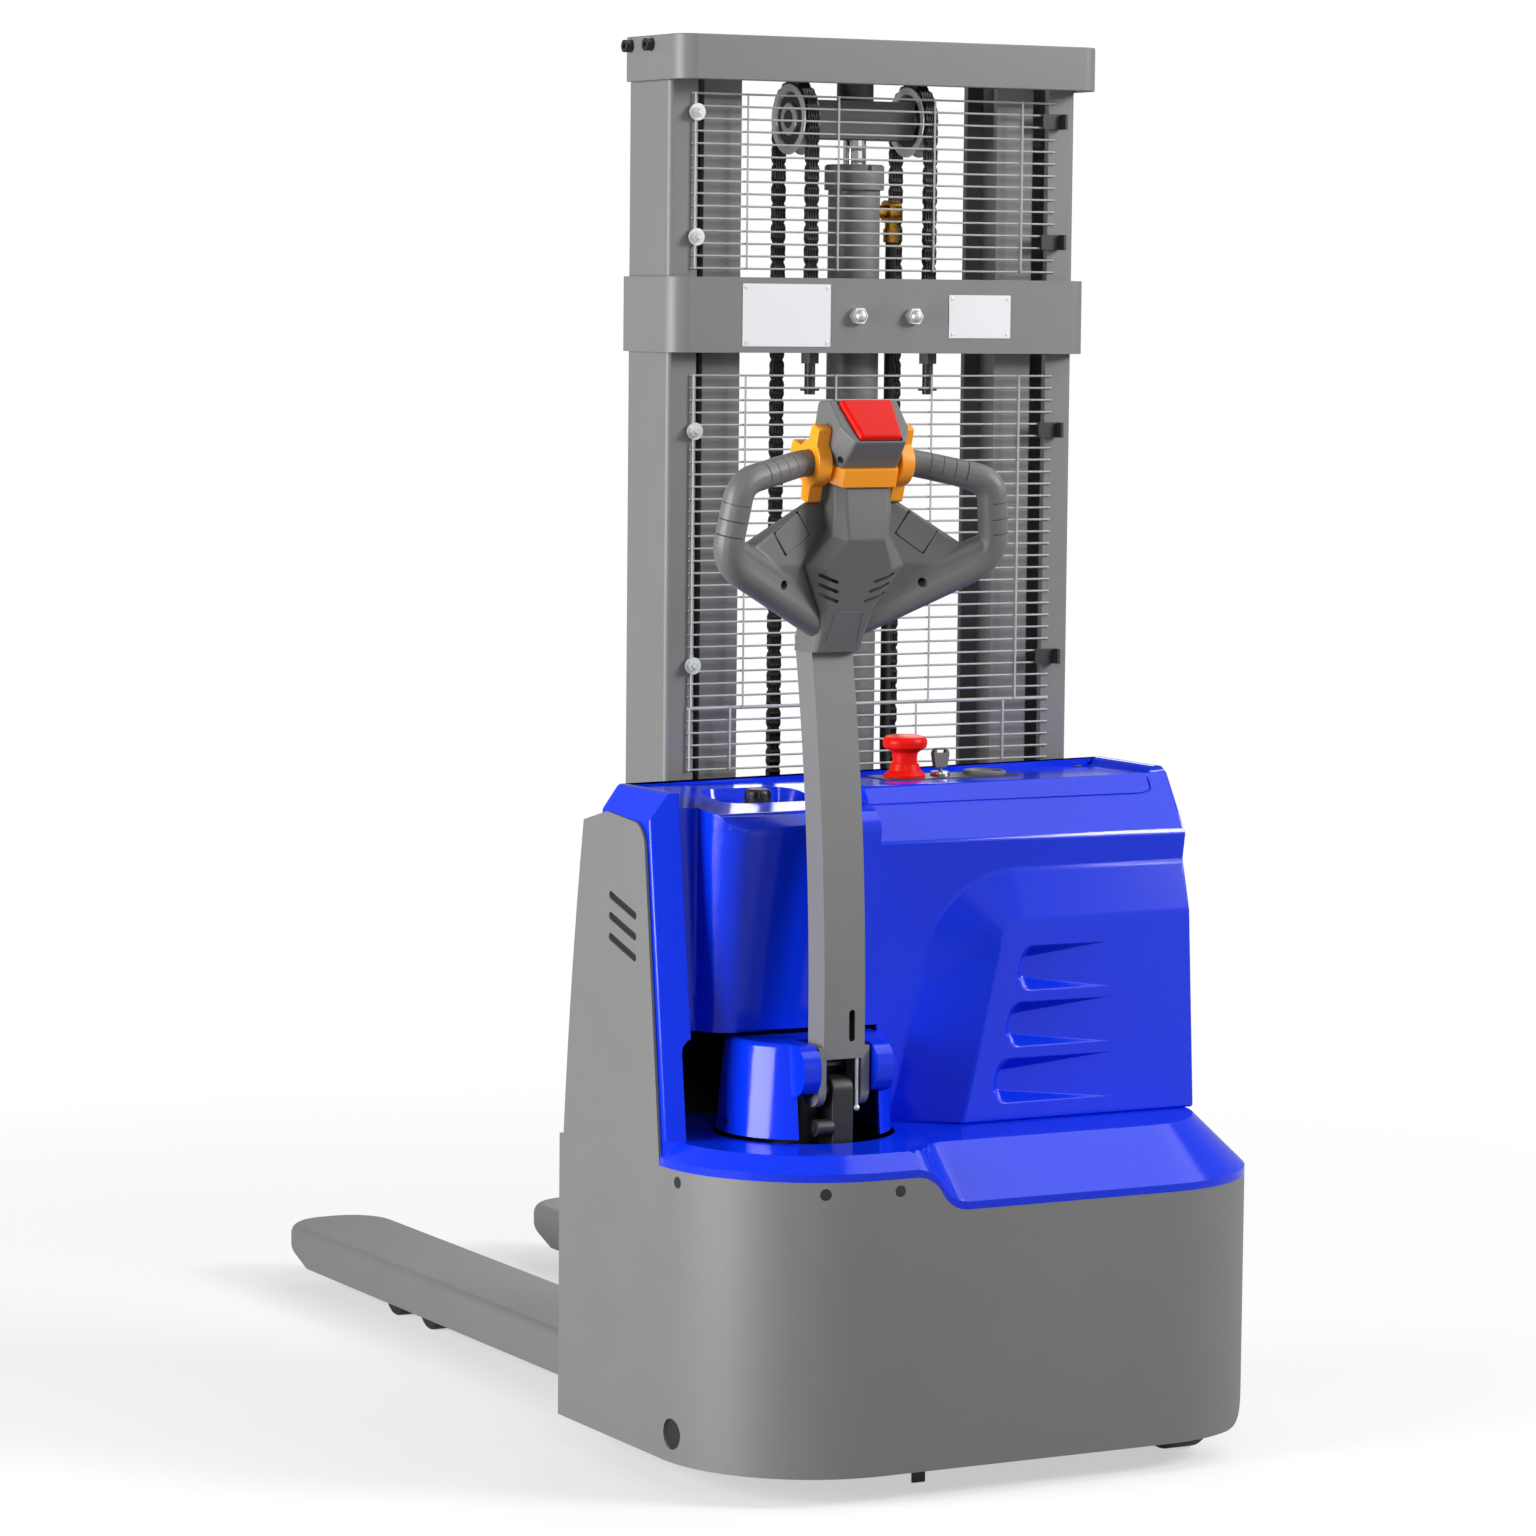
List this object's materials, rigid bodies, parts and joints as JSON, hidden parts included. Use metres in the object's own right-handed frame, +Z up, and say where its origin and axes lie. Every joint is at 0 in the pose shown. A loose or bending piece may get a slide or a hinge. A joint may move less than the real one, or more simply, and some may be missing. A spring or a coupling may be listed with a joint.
{
  "type": "electric stacker",
  "caption": "Walk-behind electric stacker: forks on a two-stage chain mast, wire guards, covered drive body, steering tiller with a loop-handled control head.",
  "frame": {"origin": "on the floor, at the middle of the truck's length and width", "axes": "+X to the operator's right, +Y from the operator to the fork tips, +Z up"},
  "size_m": [0.82, 1.726, 1.815],
  "materials": {
    "grey_paint": "satin",
    "black_paint": "satin",
    "blue_cover": "gloss",
    "dark_plastic": "fine grain",
    "orange_plastic": "satin",
    "red_plastic": "satin",
    "zinc_steel": "zinc plated",
    "bearing_steel": "ground",
    "bare_plate": "plain",
    "chrome": "polished",
    "brass": "plain",
    "hose_rubber": "matt",
    "cast_iron": "cast",
    "poly_tyre": "matt"
  },
  "bodies": {
    "chassis": {"base_frame": "black_paint", "support_legs": "grey_paint", "outer_channels": "grey_paint", "top_crossbeam": "grey_paint", "middle_crossplate": "grey_paint", "skirt": "grey_paint", "base_cover": "blue_cover", "main_cover": "blue_cover", "upper_guard": "zinc_steel", "lower_guard": "zinc_steel", "guard_bolts": "zinc_steel", "guard_clips": "black_paint", "cylinder_barrel": "grey_paint", "cylinder_gland": "black_paint", "cylinder_clamp": "zinc_steel", "hose_fitting": "brass", "lift_hose": "hose_rubber", "power_pack": "black_paint", "battery": "dark_plastic", "controller": "bare_plate", "battery_gauge": "dark_plastic", "key_lock": "chrome", "stop_base": "red_plastic", "charge_socket": "dark_plastic", "data_plates": "bare_plate", "frame_screws": "black_paint", "chain_anchors": "black_paint", "front_chains": "black_paint"},
    "inner_mast": {"inner_mast": "grey_paint", "piston_rod": "chrome", "crosshead": "grey_paint", "rear_chains": "black_paint"},
    "chain_wheels": {"chain_wheels": "zinc_steel"},
    "inner_mast_rollers": {"inner_mast_rollers": "bearing_steel"},
    "top_mast_rollers": {"top_mast_rollers": "bearing_steel"},
    "carriage": {"carriage_frame": "grey_paint", "left_fork": "grey_paint", "right_fork": "grey_paint"},
    "upper_carriage_rollers": {"upper_carriage_rollers": "bearing_steel"},
    "lower_carriage_rollers": {"lower_carriage_rollers": "bearing_steel"},
    "drive_unit": {"drive_gearbox": "cast_iron", "drive_motor": "black_paint", "tiller_bracket": "black_paint", "left_turntable_cover": "blue_cover", "right_turntable_cover": "blue_cover"},
    "drive_wheel": {"drive_wheel": "poly_tyre"},
    "tiller": {"tiller_arm": "grey_paint", "tiller_head": "dark_plastic", "orange_band": "orange_plastic"},
    "throttle": {"throttle_wings": "orange_plastic"},
    "reverse_button": {"reverse_button": "red_plastic"},
    "lift_pad": {"lift_pad": "dark_plastic"},
    "lower_pad": {"lower_pad": "dark_plastic"},
    "stop_button": {"stop_button": "red_plastic"},
    "key": {"key": "dark_plastic"},
    "caster_fork": {"caster_fork": "black_paint"},
    "caster_wheel": {"caster_wheel": "poly_tyre"},
    "front_load_rollers": {"front_load_rollers": "poly_tyre"},
    "rear_load_rollers": {"rear_load_rollers": "poly_tyre"}
  },
  "joints": [
    {"name": "mast_lift", "type": "slide", "parent": "chassis", "child": "inner_mast", "axis": [0, 0, 1], "range_m": [0, 1.23], "deforming": ["front_chains"]},
    {"name": "carriage_lift", "type": "slide", "parent": "inner_mast", "child": "carriage", "axis": [0, 0, 1], "range_m": [0, 1.23], "deforming": ["rear_chains"]},
    {"name": "chain_wheel_spin", "type": "hinge", "parent": "inner_mast", "child": "chain_wheels", "pos_m": [0, -0.3825, 1.715], "axis": [1, 0, 0], "continuous": true},
    {"name": "inner_roller_spin", "type": "hinge", "parent": "inner_mast", "child": "inner_mast_rollers", "pos_m": [0, -0.3825, 0.14], "axis": [1, 0, 0], "continuous": true},
    {"name": "top_roller_spin", "type": "hinge", "parent": "chassis", "child": "top_mast_rollers", "pos_m": [0, -0.3825, 1.69], "axis": [1, 0, 0], "continuous": true},
    {"name": "upper_carriage_roller_spin", "type": "hinge", "parent": "carriage", "child": "upper_carriage_rollers", "pos_m": [0, -0.3825, 0.37], "axis": [1, 0, 0], "continuous": true},
    {"name": "lower_carriage_roller_spin", "type": "hinge", "parent": "carriage", "child": "lower_carriage_rollers", "pos_m": [0, -0.3825, 0.15], "axis": [1, 0, 0], "continuous": true},
    {"name": "steering", "type": "hinge", "parent": "chassis", "child": "drive_unit", "pos_m": [-0.202, -0.638, 0.33], "axis": [0, 0, 1], "range_deg": [-35, 35]},
    {"name": "drive_wheel_spin", "type": "hinge", "parent": "drive_unit", "child": "drive_wheel", "pos_m": [-0.202, -0.638, 0.115], "axis": [1, 0, 0], "continuous": true},
    {"name": "tiller_pivot", "type": "hinge", "parent": "drive_unit", "child": "tiller", "pos_m": [-0.202, -0.722, 0.5], "axis": [1, 0, 0], "range_deg": [0, 80], "stiffness_Nm_per_rad": 30, "springref_deg": -20.05},
    {"name": "throttle_turn", "type": "hinge", "parent": "tiller", "child": "throttle", "pos_m": [-0.202, -0.75594, 1.2834], "axis": [1, 0, 0], "range_deg": [-25, 25], "stiffness_Nm_per_rad": 0.6},
    {"name": "reverse_press", "type": "slide", "parent": "tiller", "child": "reverse_button", "axis": [0, 0.7258, -0.6879], "range_m": [0, 0.006], "stiffness_N_per_m": 600, "springref_m": -0.002},
    {"name": "lift_press", "type": "slide", "parent": "tiller", "child": "lift_pad", "axis": [-0.1726, 0.9848, -0.0172], "range_m": [0, 0.0015], "stiffness_N_per_m": 800, "springref_m": -0.001},
    {"name": "lower_press", "type": "slide", "parent": "tiller", "child": "lower_pad", "axis": [0.1726, 0.9848, -0.0172], "range_m": [0, 0.0015], "stiffness_N_per_m": 800, "springref_m": -0.001},
    {"name": "stop_press", "type": "slide", "parent": "chassis", "child": "stop_button", "axis": [0, 0, -1], "range_m": [0, 0.01], "stiffness_N_per_m": 1500, "springref_m": -0.006},
    {"name": "key_turn", "type": "hinge", "parent": "chassis", "child": "key", "pos_m": [0.053, -0.533, 0.88], "axis": [0, 0, -1], "range_deg": [0, 90]},
    {"name": "caster_swivel", "type": "hinge", "parent": "chassis", "child": "caster_fork", "pos_m": [0.3, -0.698, 0.15], "axis": [0, 0, 1], "continuous": true},
    {"name": "caster_roll", "type": "hinge", "parent": "caster_fork", "child": "caster_wheel", "pos_m": [0.3, -0.732, 0.058], "axis": [1, 0, 0], "continuous": true},
    {"name": "front_load_roll", "type": "hinge", "parent": "chassis", "child": "front_load_rollers", "pos_m": [0, 0.507, 0.037], "axis": [1, 0, 0], "continuous": true},
    {"name": "rear_load_roll", "type": "hinge", "parent": "chassis", "child": "rear_load_rollers", "pos_m": [0, 0.389, 0.037], "axis": [1, 0, 0], "continuous": true}
  ],
  "couplings": [
    {"joint": "carriage_lift", "follows": "mast_lift", "ratio": 1},
    {"joint": "chain_wheel_spin", "follows": "mast_lift", "rad_per_m": 22.222},
    {"joint": "inner_roller_spin", "follows": "mast_lift", "rad_per_m": 21.186},
    {"joint": "top_roller_spin", "follows": "mast_lift", "rad_per_m": -30.12},
    {"joint": "upper_carriage_roller_spin", "follows": "mast_lift", "rad_per_m": -30.12},
    {"joint": "lower_carriage_roller_spin", "follows": "mast_lift", "rad_per_m": 30.12}
  ]
}
